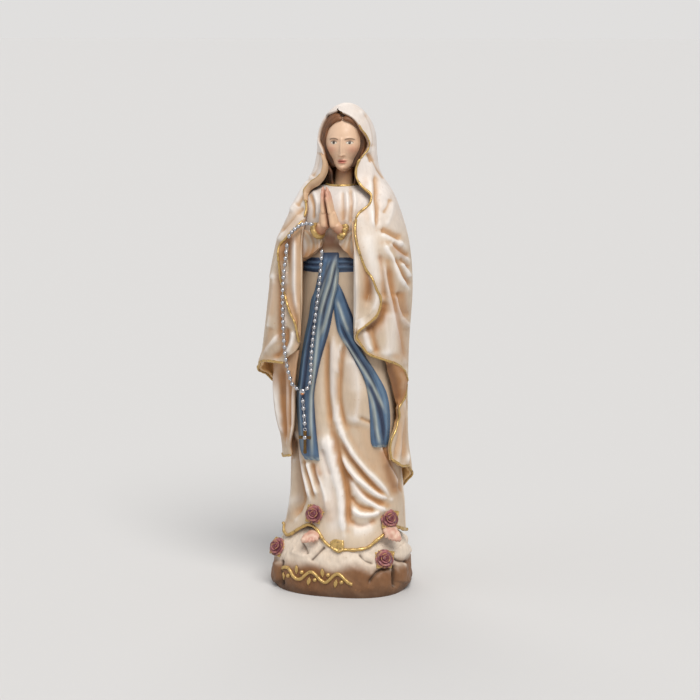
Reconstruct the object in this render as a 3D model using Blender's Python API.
"""A standing robed figure with praying hands, on a rock base, with a bead rosary hung from one wrist.

Frame: origin at the centre of the rock's flat underside, +Z up, the figure looks along -Y and its left
hand is on +X. Every length below is in millimetres until it reaches a mesh, which holds metres.
"""

import math

import bmesh
import bpy
from mathutils import Matrix, Vector

MM = 0.001
GAP = 0.35  # clearance left between neighbouring pieces
RING_POINTS = 36

# Hull stations of the mantle's outer side:
# height, least x, greatest x, front depth, back depth, squareness
MANTLE_STATIONS = (
    (47.0, -25.0, 28.0, 20.0, 19.5, 2.6),
    (60.0, -25.6, 26.3, 20.0, 19.0, 2.6),
    (75.0, -28.6, 26.5, 20.0, 18.5, 2.7),
    (92.0, -32.5, 26.8, 21.0, 18.0, 2.8),
    (108.0, -31.2, 27.5, 22.0, 17.8, 2.8),
    (121.0, -29.8, 28.4, 22.0, 17.5, 2.8),
    (133.0, -28.4, 28.2, 22.6, 17.0, 2.8),
    (144.0, -26.2, 26.9, 22.4, 16.5, 2.7),
    (152.0, -23.0, 25.0, 20.0, 15.8, 2.5),
    (158.0, -20.0, 23.0, 17.0, 15.0, 2.4),
    (163.0, -17.2, 21.0, 14.5, 14.3, 2.3),
    (167.0, -14.6, 18.6, 12.5, 13.8, 2.2),
    (171.0, -12.4, 16.0, 10.8, 13.3, 2.1),
    (175.0, -10.9, 14.6, 10.0, 13.0, 2.1),
    (180.0, -10.3, 13.9, 10.2, 13.0, 2.1),
    (186.0, -10.0, 13.6, 10.6, 12.6, 2.1),
    (191.0, -8.6, 12.2, 10.0, 11.4, 2.1),
    (195.0, -6.2, 9.8, 8.0, 9.0, 2.0),
    (198.2, -2.6, 6.2, 4.6, 5.2, 2.0),
    (199.6, 0.3, 3.3, 1.6, 1.8, 2.0),
)
# The same for the tunic, from its hem to its neck opening
TUNIC_STATIONS = (
    (18.5, -23.6, 25.0, 20.6, 17.0, 2.3),
    (22.0, -23.9, 25.2, 20.6, 17.0, 2.3),
    (28.0, -22.4, 24.3, 19.3, 16.4, 2.3),
    (38.0, -20.2, 23.2, 18.0, 15.5, 2.3),
    (50.0, -19.4, 21.8, 17.5, 15.0, 2.3),
    (65.0, -18.8, 20.4, 17.5, 14.5, 2.3),
    (82.0, -17.8, 18.8, 17.5, 14.0, 2.3),
    (100.0, -16.4, 17.2, 16.5, 13.5, 2.2),
    (120.0, -14.4, 14.7, 14.5, 12.5, 2.2),
    (133.0, -12.5, 13.0, 12.6, 11.5, 2.1),
    (140.0, -12.3, 12.8, 12.2, 11.3, 2.1),
    (150.0, -14.0, 14.5, 13.0, 12.0, 2.1),
    (158.0, -13.8, 15.0, 12.2, 11.6, 2.1),
    (163.0, -12.0, 13.5, 10.5, 10.5, 2.0),
    (167.0, -7.6, 9.8, 8.5, 8.5, 2.0),
    (169.0, -5.2, 7.4, 6.8, 6.6, 2.0),
)
MANTLE_WALL = 2.0
# Hems in the XZ plane, from the figure's right to its left:
# of the two front drapes, and of the back drape below
FRONT_HEM = (
    (-50.0, 90.0), (-34.0, 91.0), (-27.0, 94.5), (-20.0, 93.0), (-12.0, 99.0), (10.0, 99.0),
    (16.0, 95.0), (23.0, 90.5), (29.0, 85.0), (50.0, 84.0),
)
BACK_HEM = ((-50.0, 56.5), (-22.0, 54.0), (0.0, 50.5), (20.0, 48.5), (50.0, 47.2))
# Outline of the mantle's front opening in the XZ plane, from its lower left corner over the face
OPENING = (
    (-12.5, 80.0), (10.3, 80.0), (10.3, 150.0), (8.6, 163.0), (7.9, 172.0), (11.2, 180.0), (11.0, 186.0),
    (8.6, 191.0), (4.0, 195.0), (-2.0, 196.4), (-5.6, 194.0), (-7.8, 190.5), (-8.4, 184.0), (-7.2, 178.0),
    (-7.2, 171.0), (-12.0, 163.0), (-12.5, 152.0),
)

# Rock: half width, half depth, and its profile as (share of the outline, height)
ROCK_HALF_X, ROCK_HALF_Y = 29.2, 24.0
ROCK_PROFILE = (
    (0.96, 0.0), (0.99, 2.5), (1.0, 7.0), (0.98, 12.0), (0.93, 14.8), (0.86, 16.2), (0.7, 17.4),
    (0.4, 18.4), (0.15, 18.8),
)
# Angle, depth and width of each cleft down the rock's side
ROCK_CLEFTS = ((-72.0, 1.6, 9.0), (58.0, 2.0, 8.0), (150.0, 1.4, 10.0), (-140.0, 1.2, 9.0))

DOWEL_RADIUS, DOWEL_FOOT, DOWEL_TOP = 3.0, 7.0, 44.0

# The figure stands seven and a half heads high, from the rock's top to the veil's crown. The head is two
# thirds as wide and three quarters as deep as it is high, with the hairline six sevenths up from the chin.
HEAD_HEIGHT = (MANTLE_STATIONS[-1][0] - ROCK_PROFILE[-1][1]) / 7.5
HEAD_RADII = Vector((HEAD_HEIGHT / 3, HEAD_HEIGHT * 3 / 8, HEAD_HEIGHT / 2))
UNDER_VEIL = 3.6  # cloth and hair between the veil's crown and the skull's
# It stands in the middle of the veil's opening
HEAD_CENTRE = Vector((1.4, -0.8, MANTLE_STATIONS[-1][0] - UNDER_VEIL - HEAD_RADII.z))
HEAD_TURN = math.radians(-8.0)
NECK_RADIUS, NECK_FOOT = 3.7, 163.0
HAIR_THICKNESS = 1.0
HAIR_RADII = HEAD_RADII + Vector((HAIR_THICKNESS,) * 3)
HAIRLINE = HEAD_CENTRE.z - HEAD_RADII.z + HEAD_HEIGHT * 6 / 7
# Half width and half height of the hair's opening, from the hairline to just under the chin
FACE_OPENING = (HEAD_RADII.x * 0.8, HEAD_HEIGHT * 3 / 7 + 0.8)

HAND_MIDDLE_X = 0.2
HAND_PATH = (
    (4.6, -19.6, 149.6), (3.9, -19.9, 152.0), (2.9, -19.9, 155.0), (2.1, -19.6, 158.5),
    (1.65, -19.2, 162.0), (1.45, -18.8, 164.6), (1.4, -18.6, 166.2),
)
HAND_SECTIONS = ((1.7, 2.0), (1.6, 2.3), (1.35, 3.0), (1.25, 3.1), (1.15, 2.7), (1.0, 2.0), (0.6, 1.0))
SLEEVE_PATH = (
    (6.4, -18.6, 148.0), (9.4, -16.2, 145.6), (13.0, -12.8, 143.2), (16.6, -9.2, 141.2),
    (19.0, -5.2, 141.0),
)
SLEEVE_RADII = (3.1, 3.7, 4.5, 5.0, 4.6)
CUFF_RADIUS, CUFF_WIRE = 3.2, 0.65

BELT_LOW, BELT_HIGH, BELT_THICKNESS = 132.6, 138.6, 1.2
TAIL_THICKNESS = 1.1
# Centre line of each sash tail: height, x at the centre, half width
RIGHT_TAIL = (
    (139.2, -0.6, 2.4), (131.0, -2.2, 3.6), (118.0, -4.2, 4.8), (104.0, -7.4, 4.4), (88.0, -10.4, 4.2),
    (70.0, -10.2, 4.1), (54.0, -8.8, 3.6),
)
LEFT_TAIL = (
    (131.0, 3.4, 1.8), (118.0, 4.4, 2.6), (104.0, 7.6, 2.6), (92.0, 12.2, 3.0), (80.0, 17.0, 3.2),
    (69.0, 19.2, 3.0), (59.0, 19.8, 2.6),
)

FOOT_RADII = Vector((3.4, 5.0, 2.6))
# Centre and turn of each foot
FEET = {"right_foot": ((-7.4, -19.6, 19.9), -14.0), "left_foot": ((23.4, -10.9, 19.5), 52.0)}
# Rose centre, the compass angle that it faces (0 is the front) and its tilt up
ROSES = {
    "right_foot_rose": ((-5.6, -21.0, 33.0), -12.0, 20.0),
    "left_foot_rose": ((22.6, -13.4, 31.6), 50.0, 20.0),
    "right_rock_rose": ((-27.3, -6.2, 14.6), -72.0, 35.0),
    "left_rock_rose": ((22.2, -17.6, 13.6), 45.0, 25.0),
}
ROSE_PROFILE = (
    (0.9, -2.2), (2.6, -1.6), (3.6, 0.0), (3.7, 1.1), (3.0, 0.9), (2.7, 1.9), (1.9, 1.7), (1.5, 2.4),
    (0.6, 2.2),
)
PETALS = 5

ORNAMENT_Z, ORNAMENT_RISE, ORNAMENT_WIRE = 8.6, 1.7, 0.75
ORNAMENT_ANGLES, ORNAMENT_WAVES = (-50.0, 26.0), 4

# Rosary: hang points, the bottom of the loop, and the ends of its drop and cross
BEAD_RADIUS, BEAD_PITCH, WIRE_RADIUS = 0.75, 2.6, 0.28
OUTER_HANG, INNER_HANG = Vector((-16.6, -22.4, 145.0)), Vector((-2.2, -22.4, 143.0))
OUTER_PATH = (
    (-16.6, -22.4, 145.0), (-18.6, -22.0, 128.0), (-18.8, -21.6, 112.0), (-18.0, -21.1, 98.0),
    (-15.8, -20.8, 88.5), (-13.1, -20.7, 85.0),
)
INNER_PATH = (
    (-2.2, -22.4, 143.0), (-3.6, -22.0, 128.0), (-5.8, -21.6, 112.0), (-7.2, -21.2, 100.0),
    (-7.6, -20.8, 91.0), (-9.3, -20.7, 85.6),
)
MEDAL_CENTRE, MEDAL_RADIUS, MEDAL_HALF_DEPTH = Vector((-11.2, -20.7, 84.0)), 1.25, 0.6
DROP_PATH = ((-11.1, -20.7, 82.2), (-10.6, -20.6, 76.0), (-10.2, -20.6, 70.0))
WRAP_PATH = ((-5.6, -23.2, 152.6), (-9.0, -23.2, 152.8), (-12.4, -22.9, 151.2), (-15.4, -22.6, 147.6))
CROSS_TOP = Vector((-10.2, -20.6, 69.4))
CROSS_LENGTH, CROSS_SPAN, CROSS_THICKNESS, CROSS_BAR = 9.6, 5.4, 0.9, 1.2
CROSS_ARM_DROP = 3.4

IVORY = (0.80, 0.72, 0.63)
LINING = (0.52, 0.33, 0.16)
SKIN = (0.78, 0.58, 0.44)
HAIR_BROWN = (0.20, 0.08, 0.03)
BLUE = (0.12, 0.22, 0.36)
ROCK_BROWN = (0.42, 0.28, 0.15)
GILT = (0.72, 0.50, 0.16)
ROSE_MAUVE = (0.45, 0.16, 0.22)
SILVER = (0.78, 0.78, 0.80)
BARE_WOOD = (0.70, 0.52, 0.32)


def smooth(t):
    return t * t * (3.0 - 2.0 * t)


def between(stations, z):
    """The station's values at height z, eased between the two nearest stations."""
    ordered = sorted(stations)
    if z <= ordered[0][0]:
        return ordered[0][1:]
    for low, high in zip(ordered, ordered[1:]):
        if z <= high[0]:
            t = smooth((z - low[0]) / (high[0] - low[0]))
            return tuple(a + (b - a) * t for a, b in zip(low[1:], high[1:]))
    return ordered[-1][1:]


def hull_point(stations, z, angle, grow=0.0):
    """The hull's point at a compass angle in radians: 0 is the front and a quarter turn is +X."""
    x_least, x_most, front, back, square = between(stations, z)
    half_x = (x_most - x_least) / 2.0 + grow
    half_y = (front if math.cos(angle) > 0 else back) + grow
    power = 2.0 / square
    s, c = math.sin(angle), math.cos(angle)
    x = (x_most + x_least) / 2.0 + half_x * math.copysign(abs(s) ** power, s)
    return Vector((x, -half_y * math.copysign(abs(c) ** power, c), z))


def hull_front_y(stations, x, z):
    """The y of the hull's front at a given x."""
    x_least, x_most, front, _, square = between(stations, z)
    share = min(abs(x - (x_most + x_least) / 2.0) / ((x_most - x_least) / 2.0), 0.999)
    return -front * (1.0 - share**square) ** (1.0 / square)


def hull_ring(stations, z, grow=0.0, points=RING_POINTS):
    return [hull_point(stations, z, 2 * math.pi * i / points, grow) for i in range(points)]


def paint(obj, colour, roughness=0.5, metallic=0.0):
    material = bpy.data.materials.new(obj.name)
    material.use_nodes = True
    shader = material.node_tree.nodes["Principled BSDF"]
    shader.inputs["Base Color"].default_value = (*colour, 1.0)
    shader.inputs["Roughness"].default_value = roughness
    shader.inputs["Metallic"].default_value = metallic
    obj.data.materials.append(material)
    return obj


def object_from(name, bm):
    """Links the bmesh as an object in metres, with its faces pointing outwards."""
    bmesh.ops.recalc_face_normals(bm, faces=bm.faces)
    bmesh.ops.scale(bm, vec=Vector((MM, MM, MM)), verts=bm.verts)
    mesh = bpy.data.meshes.new(name)
    bm.to_mesh(mesh)
    bm.free()
    mesh.shade_smooth()
    mesh.set_sharp_from_angle(angle=math.radians(40))
    obj = bpy.data.objects.new(name, mesh)
    bpy.context.collection.objects.link(obj)
    return obj


def loft(name, rings):
    """A closed solid through rings of equal count, with a fan of triangles over each end."""
    bm = bmesh.new()
    rows = [[bm.verts.new(p) for p in ring] for ring in rings]
    for low, high in zip(rows, rows[1:]):
        for i in range(len(low)):
            j = (i + 1) % len(low)
            bm.faces.new((low[i], low[j], high[j], high[i]))
    for row in (rows[0], rows[-1]):
        middle = bm.verts.new(sum((v.co for v in row), Vector()) / len(row))
        for i in range(len(row)):
            bm.faces.new((row[i], row[(i + 1) % len(row)], middle))
    return object_from(name, bm)


def spline(path, count):
    """count points evenly spaced along a Catmull-Rom curve through the path."""
    pts = [Vector(p) for p in path]
    pts = [2 * pts[0] - pts[1], *pts, 2 * pts[-1] - pts[-2]]
    fine = []
    for a, b, c, d in zip(pts, pts[1:], pts[2:], pts[3:]):
        for k in range(20):
            t = k / 20
            bend = (2 * a - 5 * b + 4 * c - d) * t**2 + (3 * b - a - 3 * c + d) * t**3
            fine.append(0.5 * (2 * b + (c - a) * t + bend))
    fine.append(pts[-2])
    run = [0.0]
    for p, q in zip(fine, fine[1:]):
        run.append(run[-1] + (q - p).length)
    found, k = [], 0
    for i in range(count):
        want = run[-1] * i / (count - 1)
        while k < len(run) - 2 and run[k + 1] < want:
            k += 1
        found.append(fine[k].lerp(fine[k + 1], (want - run[k]) / (run[k + 1] - run[k])))
    return found


def path_length(path):
    pts = spline(path, 60)
    return sum((q - p).length for p, q in zip(pts, pts[1:]))


def tube(name, centres, sections, points=10, wide=Vector((0, 1, 0))):
    """A solid swept along centres. Each section is (half width across, half width along `wide`)."""
    rings = []
    for i, (centre, (across, along)) in enumerate(zip(centres, sections)):
        ahead = (centres[min(i + 1, len(centres) - 1)] - centres[max(i - 1, 0)]).normalized()
        u = (wide - ahead * wide.dot(ahead)).normalized()
        v = ahead.cross(u)
        turn = [2 * math.pi * k / points for k in range(points)]
        rings.append([centre + u * along * math.sin(t) + v * across * math.cos(t) for t in turn])
    return loft(name, rings)


def bead_string(name, path):
    """A wire with a round bead at every pitch, as one swept solid whose radius swells at each bead."""
    beads = max(2, round(path_length(path) / BEAD_PITCH))
    profile = ((-0.8, 0.6), (0.0, 1.0), (0.8, 0.6))
    fine = spline(path, beads * 40 + 1)
    centres, sections = [fine[0], fine[5]], [(WIRE_RADIUS,) * 2] * 2
    for bead in range(beads):
        middle = bead * 40 + 20
        for along, radius in profile:
            centres.append(fine[middle + round(along * BEAD_RADIUS / BEAD_PITCH * 40)])
            sections.append((BEAD_RADIUS * radius,) * 2)
        if bead < beads - 1:
            for share in (0.37, 0.63):
                centres.append(fine[middle + round(share * 40)])
                sections.append((WIRE_RADIUS,) * 2)
    centres += [fine[-6], fine[-1]]
    sections += [(WIRE_RADIUS,) * 2] * 2
    return tube(name, centres, sections, 6)


def ellipsoid(name, centre, radii, segments=24, rows=14, turn=0.0):
    bm = bmesh.new()
    bmesh.ops.create_uvsphere(bm, u_segments=segments, v_segments=rows, radius=1.0)
    place = Matrix.Translation(centre) @ Matrix.Rotation(turn, 4, "Z") @ Matrix.Diagonal((*radii, 1.0))
    bmesh.ops.transform(bm, matrix=place, verts=bm.verts)
    return object_from(name, bm)


def cylinder(name, radius, low, high, centre=(0.0, 0.0), points=24):
    turns = [2 * math.pi * i / points for i in range(points)]
    ring = [(radius * math.cos(t), radius * math.sin(t)) for t in turns]
    return loft(name, [[Vector((centre[0] + x, centre[1] + y, z)) for x, y in ring] for z in (low, high)])


def slab(name, outline, near, far):
    """The outline, given in the XZ plane, run from y near to y far."""
    return loft(name, [[Vector((x, y, z)) for x, z in outline] for y in (near, far)])


def join(obj, others, operation="UNION"):
    """Applies Booleans at once, and removes the other objects."""
    for other in others:
        modifier = obj.modifiers.new("join", "BOOLEAN")
        modifier.operation = operation
        modifier.solver = "EXACT"
        modifier.object = other
    graph = bpy.context.evaluated_depsgraph_get()
    mesh = bpy.data.meshes.new_from_object(obj.evaluated_get(graph))
    obj.modifiers.clear()
    obj.data = mesh
    for other in others:
        bpy.data.objects.remove(other)
    return obj


def cut(obj, *cutters):
    return join(obj, cutters, "DIFFERENCE")


# ---------------------------------------------------------------- rock base and dowel


def rock_outline(angle):
    """The rock's outer radius at a compass angle, with rounded clefts."""
    s, c = math.sin(angle), math.cos(angle)
    radius = ((abs(s) / ROCK_HALF_X) ** 2.5 + (abs(c) / ROCK_HALF_Y) ** 2.5) ** (-1 / 2.5)
    for middle, depth, width in ROCK_CLEFTS:
        off = (math.degrees(angle) - middle + 180.0) % 360.0 - 180.0
        radius -= depth * math.exp(-((off / width) ** 2))
    return radius


def rock_point(angle, share, z):
    radius = rock_outline(angle) * share
    return Vector((radius * math.sin(angle), -radius * math.cos(angle), z))


def rock_top(x, y):
    """Height of the rock's upper face."""
    share = math.hypot(x, y) / rock_outline(math.atan2(x, -y))
    for (outer, low), (inner, high) in zip(ROCK_PROFILE, ROCK_PROFILE[1:]):
        if inner <= share <= outer:
            return high + (low - high) * (share - inner) / (outer - inner)
    return ROCK_PROFILE[-1][1]


def rock_base():
    turns = [2 * math.pi * i / 48 for i in range(48)]
    rings = [[rock_point(t, share, z) for t in turns] for share, z in ROCK_PROFILE]
    obj = loft("rock_base", rings)
    cut(obj, cylinder("bore", DOWEL_RADIUS + GAP, DOWEL_FOOT - GAP, 30.0))
    cut(obj, *(foot(name, GAP) for name in FEET), *(rose(name, GAP) for name in ROSES))
    return paint(obj, ROCK_BROWN, 0.55)


def base_dowel():
    return paint(cylinder("base_dowel", DOWEL_RADIUS, DOWEL_FOOT, DOWEL_TOP), BARE_WOOD, 0.7)


# ---------------------------------------------------------------- figure


def sleeve(side, grow=0.0):
    """side is 1 for the figure's left and -1 for its right."""
    path = [(HAND_MIDDLE_X + side * x, y, z) for x, y, z in SLEEVE_PATH]
    name = ("left" if side > 0 else "right") + "_sleeve"
    return tube(name, spline(path, 9), [(r + grow,) * 2 for r in ease_list(SLEEVE_RADII, 9)], 16)


def ease_list(values, count):
    """count values at even steps along the list, between its neighbours."""
    last = len(values) - 1
    eased = []
    for i in range(count):
        spot = i * last / (count - 1)
        low = values[int(spot)]
        high = values[min(int(spot) + 1, last)]
        eased.append(low + (high - low) * (spot - int(spot)))
    return eased


def hand(side, grow=0.0):
    name = ("left" if side > 0 else "right") + "_hand"
    centres = [Vector((HAND_MIDDLE_X + side * x, y, z)) for x, y, z in HAND_PATH]
    sections = [(across + grow, along + grow) for across, along in HAND_SECTIONS]
    return tube(name, centres, sections, 12)


def cuff(side):
    """A gilt ring round the wrist, square to the forearm."""
    path = [Vector((HAND_MIDDLE_X + side * x, y, z)) for x, y, z in (HAND_PATH[0], SLEEVE_PATH[0])]
    bm = bmesh.new()
    upright = Matrix.Translation((CUFF_RADIUS, 0, 0)) @ Matrix.Rotation(math.pi / 2, 4, "X")
    bmesh.ops.create_circle(bm, segments=8, radius=CUFF_WIRE, matrix=upright)
    wire = bm.verts[:] + bm.edges[:]
    bmesh.ops.spin(
        bm, geom=wire, cent=(0, 0, 0), axis=(0, 0, 1), angle=2 * math.pi, steps=20, use_merge=True
    )
    bmesh.ops.remove_doubles(bm, verts=bm.verts, dist=1e-4)
    along = (path[0] - path[1]).normalized()
    turn = along.to_track_quat("Z", "Y").to_matrix().to_4x4()
    centre = path[1] + along * (CUFF_WIRE + GAP + 0.05)
    bmesh.ops.transform(bm, matrix=Matrix.Translation(centre) @ turn, verts=bm.verts)
    name = ("left" if side > 0 else "right") + "_cuff"
    return paint(object_from(name, bm), GILT, 0.3, 1.0)


def foot(name, grow=0.0):
    centre, turn = FEET[name]
    return ellipsoid(name, centre, FOOT_RADII + Vector((grow,) * 3), 16, 10, math.radians(turn))


def rose(name, grow=0.0):
    """Nested rings of petals as one turned, waved solid, facing out from the figure."""
    centre, face, tilt = ROSES[name]
    rings = []
    for row, (radius, height) in enumerate(ROSE_PROFILE):
        ring = []
        for k in range(20):
            t = 2 * math.pi * k / 20
            wave = 1.0 if grow else 1.0 + 0.07 * math.cos(PETALS * t + row * 1.9)
            reach = (radius + grow) * wave
            level = height + math.copysign(grow, height)
            ring.append(Vector((reach * math.cos(t), reach * math.sin(t), level)))
        rings.append(ring)
    if grow:  # a plain round hull, so that its cavity stays simple
        lid = [Vector((p.x, p.y, ROSE_PROFILE[-2][1] + grow)) for p in rings[5]]
        rings = rings[:4] + [lid]
    turned = Matrix.Rotation(math.radians(face), 4, "Z")
    tipped = Matrix.Rotation(math.radians(90.0 - tilt), 4, "X")
    place = Matrix.Translation(centre) @ turned @ tipped
    return loft(name, [[place @ p for p in ring] for ring in rings])


def tunic():
    """The robe's body. Its underside follows the rock, and it is cut round the pieces that it holds."""
    hem = hull_ring(TUNIC_STATIONS, TUNIC_STATIONS[0][0])
    under = []
    for share in (0.2, 0.5, 0.8, 0.93):
        flat = [(p.x * share, p.y * share) for p in hem]
        under.append([Vector((x, y, rock_top(x, y) + GAP + 0.3)) for x, y in flat])
    obj = loft("tunic", under + [hull_ring(TUNIC_STATIONS, station[0]) for station in TUNIC_STATIONS])
    cut(obj, cylinder("bore", DOWEL_RADIUS + GAP, 10.0, DOWEL_TOP + GAP))
    cut(obj, cylinder("socket", NECK_RADIUS + GAP, NECK_FOOT - GAP, 180.0, HEAD_CENTRE.xy))
    cut(obj, sleeve(-1, GAP), sleeve(1, GAP))
    feet = [foot(name, GAP) for name in FEET]
    cut(obj, *feet, rose("right_foot_rose", GAP), rose("left_foot_rose", GAP))
    return paint(obj, IVORY, 0.5)


def mantle_inside(inset):
    """The room inside the mantle, inset from its outer side and run on below its hem."""
    heights = [MANTLE_STATIONS[0][0] - 10.0] + [station[0] for station in MANTLE_STATIONS[1:-2]]
    heights.append(MANTLE_STATIONS[-2][0] - inset / 2)
    return loft("inside", [hull_ring(MANTLE_STATIONS, z, -inset) for z in heights])


def mantle():
    """The veil and cloak as one shell, open at the face and down the front, with longer drapes behind."""
    obj = loft("mantle", [hull_ring(MANTLE_STATIONS, station[0]) for station in MANTLE_STATIONS])
    cut(obj, mantle_inside(MANTLE_WALL), sleeve(-1, GAP), sleeve(1, GAP))
    cut(obj, slab("opening", OPENING, -60.0, -2.5))
    floor = MANTLE_STATIONS[0][0] - 10.0
    cut(obj, slab("under_front_hem", ((-50.0, floor), (50.0, floor), *FRONT_HEM[::-1]), -60.0, -5.0))
    cut(obj, slab("under_back_hem", ((-50.0, floor), (50.0, floor), *BACK_HEM[::-1]), -60.0, 60.0))
    return paint(obj, IVORY, 0.5)


def head():
    obj = ellipsoid("head", HEAD_CENTRE, HEAD_RADII, 24, 16, HEAD_TURN)
    join(obj, [cylinder("neck", NECK_RADIUS, NECK_FOOT, HEAD_CENTRE.z - 4.0, HEAD_CENTRE.xy)])
    return paint(obj, SKIN, 0.45)


def hair():
    """A cap of hair over the skull, open at the face."""
    obj = ellipsoid("hair", HEAD_CENTRE, HAIR_RADII, 20, 14, HEAD_TURN)
    join(obj, [mantle_inside(MANTLE_WALL + GAP)], "INTERSECT")
    cut(obj, ellipsoid("skull", HEAD_CENTRE, HEAD_RADII + Vector((GAP,) * 3), 24, 16, HEAD_TURN))
    cut(obj, cylinder("neck", NECK_RADIUS + GAP, NECK_FOOT, HEAD_CENTRE.z, HEAD_CENTRE.xy))
    turns = [2 * math.pi * i / 20 for i in range(20)]
    across, up = FACE_OPENING
    middle = HAIRLINE - up
    face = [(HEAD_CENTRE.x + across * math.sin(t), middle + up * math.cos(t)) for t in turns]
    cut(obj, slab("face", face, -40.0, HEAD_CENTRE.y - 1.5))
    return paint(obj, HAIR_BROWN, 0.5)


def neckline_trim():
    """A gilt cord lying on the tunic's neck opening."""
    z = TUNIC_STATIONS[-1][0] + 0.75
    ring = [hull_point(TUNIC_STATIONS, z, math.radians(a), -0.6) for a in range(-100, 101, 10)]
    cord = [Vector((p.x, p.y, z)) for p in ring]
    obj = tube("neckline_trim", cord, [(0.42, 0.42)] * len(cord), 6, Vector((0, 0, 1)))
    return paint(obj, GILT, 0.3, 1.0)


def belt():
    """A band round the waist, one closed ring with the tunic's section."""
    rings = []
    outside = GAP + BELT_THICKNESS
    section = ((GAP, BELT_LOW), (outside, BELT_LOW + 0.5), (outside, BELT_HIGH - 0.5), (GAP, BELT_HIGH))
    for grow, z in section:
        rings.append([Vector((p.x, p.y, z)) for p in hull_ring(TUNIC_STATIONS, z, grow + 0.25)])
    bm = bmesh.new()
    rows = [[bm.verts.new(p) for p in ring] for ring in rings]
    for low, high in zip(rows, rows[1:] + rows[:1]):
        for i in range(len(low)):
            j = (i + 1) % len(low)
            bm.faces.new((low[i], low[j], high[j], high[i]))
    return paint(object_from("sash_belt", bm), BLUE, 0.5)


def tail(name, line):
    """A flat strip lying over the belt and down the tunic's front."""
    rings = []
    for i in range(15):
        z = line[0][0] + (line[-1][0] - line[0][0]) * i / 14
        middle, half = between(line, z)
        inner, outer = [], []
        for k in range(5):
            x = middle + half * (k / 2 - 1)
            over_belt = (BELT_THICKNESS + GAP) * smooth(max(0.0, min(1.0, (z - BELT_LOW + 6.0) / 4.0)))
            y = hull_front_y(TUNIC_STATIONS, x, z) - 2 * GAP - 0.5 - over_belt
            crown = 0.4 * (1 - (k / 2 - 1) ** 2)
            inner.append(Vector((x, y, z)))
            outer.append(Vector((x, y - TAIL_THICKNESS * (0.6 + crown), z)))
        rings.append(outer + inner[::-1])
    return paint(loft(name, rings), BLUE, 0.5)


def base_ornament():
    """A gilt wave of vine along the rock's front, in place of lettering."""
    low, high = (math.radians(a) for a in ORNAMENT_ANGLES)
    centres = []
    for i in range(49):
        t = low + (high - low) * i / 48
        z = ORNAMENT_Z + ORNAMENT_RISE * math.sin(2 * math.pi * ORNAMENT_WAVES * i / 48)
        p = rock_point(t, 1.0, z)
        centres.append(p + p.xy.normalized().to_3d() * (ORNAMENT_WIRE + GAP))
    obj = tube("base_ornament", centres, [(ORNAMENT_WIRE,) * 2] * 49, 6, Vector((0.1, 0.2, 1)))
    return paint(obj, GILT, 0.3, 1.0)


# ---------------------------------------------------------------- rosary


def place_on_joint(obj, spot):
    """Moves the object's origin to its joint without moving its surface."""
    here = Vector(spot) * MM
    obj.data.transform(Matrix.Translation(-here))
    obj.location = here
    return obj


def medal():
    turns = [2 * math.pi * i / 14 for i in range(14)]
    flat = [Vector((MEDAL_RADIUS * math.cos(t), 0, MEDAL_RADIUS * math.sin(t))) for t in turns]
    rings = []
    for y, share in ((-1, 0.8), (-0.6, 1.0), (0.6, 1.0), (1, 0.8)):
        rings.append([MEDAL_CENTRE + p * share + Vector((0, y * MEDAL_HALF_DEPTH, 0)) for p in flat])
    return loft("rosary_medal", rings)


def cross():
    """A plain Latin cross with a ring boss at its top."""
    half, bar = CROSS_THICKNESS / 2, CROSS_BAR / 2
    x, top = CROSS_TOP.x, CROSS_TOP.z
    arm = top - CROSS_ARM_DROP
    span = CROSS_SPAN / 2
    outline = (
        (x - bar, top - CROSS_LENGTH), (x + bar, top - CROSS_LENGTH),
        (x + bar, arm - bar), (x + span, arm - bar), (x + span, arm + bar), (x + bar, arm + bar),
        (x + bar, top), (x - bar, top),
        (x - bar, arm + bar), (x - span, arm + bar), (x - span, arm - bar), (x - bar, arm - bar),
    )
    bm = bmesh.new()
    face = bm.faces.new([bm.verts.new((px, CROSS_TOP.y - half, pz)) for px, pz in outline])
    made = bmesh.ops.extrude_face_region(bm, geom=[face])
    back = [v for v in made["geom"] if isinstance(v, bmesh.types.BMVert)]
    bmesh.ops.translate(bm, vec=(0, CROSS_THICKNESS, 0), verts=back)
    return object_from("rosary_cross", bm)


def rosary():
    """The chain over the wrist is fixed; the loop, the drop and the cross each swing on the one above."""
    paint(bead_string("rosary_wrist_wrap", WRAP_PATH), SILVER, 0.25, 1.0)
    loop_joint = (OUTER_HANG + INNER_HANG) / 2
    for name, path in (("rosary_outer_strand", OUTER_PATH), ("rosary_inner_strand", INNER_PATH)):
        paint(place_on_joint(bead_string(name, path), loop_joint), SILVER, 0.25, 1.0)
    paint(place_on_joint(medal(), loop_joint), GILT, 0.3, 1.0)
    paint(place_on_joint(bead_string("rosary_drop", DROP_PATH), MEDAL_CENTRE), SILVER, 0.25, 1.0)
    paint(place_on_joint(cross(), CROSS_TOP), GILT, 0.3, 1.0)


def main():
    for obj in list(bpy.data.objects):
        bpy.data.objects.remove(obj)
    rock_base()
    base_dowel()
    tunic()
    mantle()
    head()
    hair()
    neckline_trim()
    belt()
    tail("sash_right_tail", RIGHT_TAIL)
    tail("sash_left_tail", LEFT_TAIL)
    for side in (-1, 1):
        paint(cut(sleeve(side), hand(side, GAP)), IVORY, 0.5)
        paint(hand(side), SKIN, 0.45)
        cuff(side)
    for name in FEET:
        paint(cut(foot(name), *([rose(name + "_rose", GAP)])), SKIN, 0.45)
    for name in ROSES:
        paint(rose(name), ROSE_MAUVE, 0.35)
    base_ornament()
    rosary()


main()
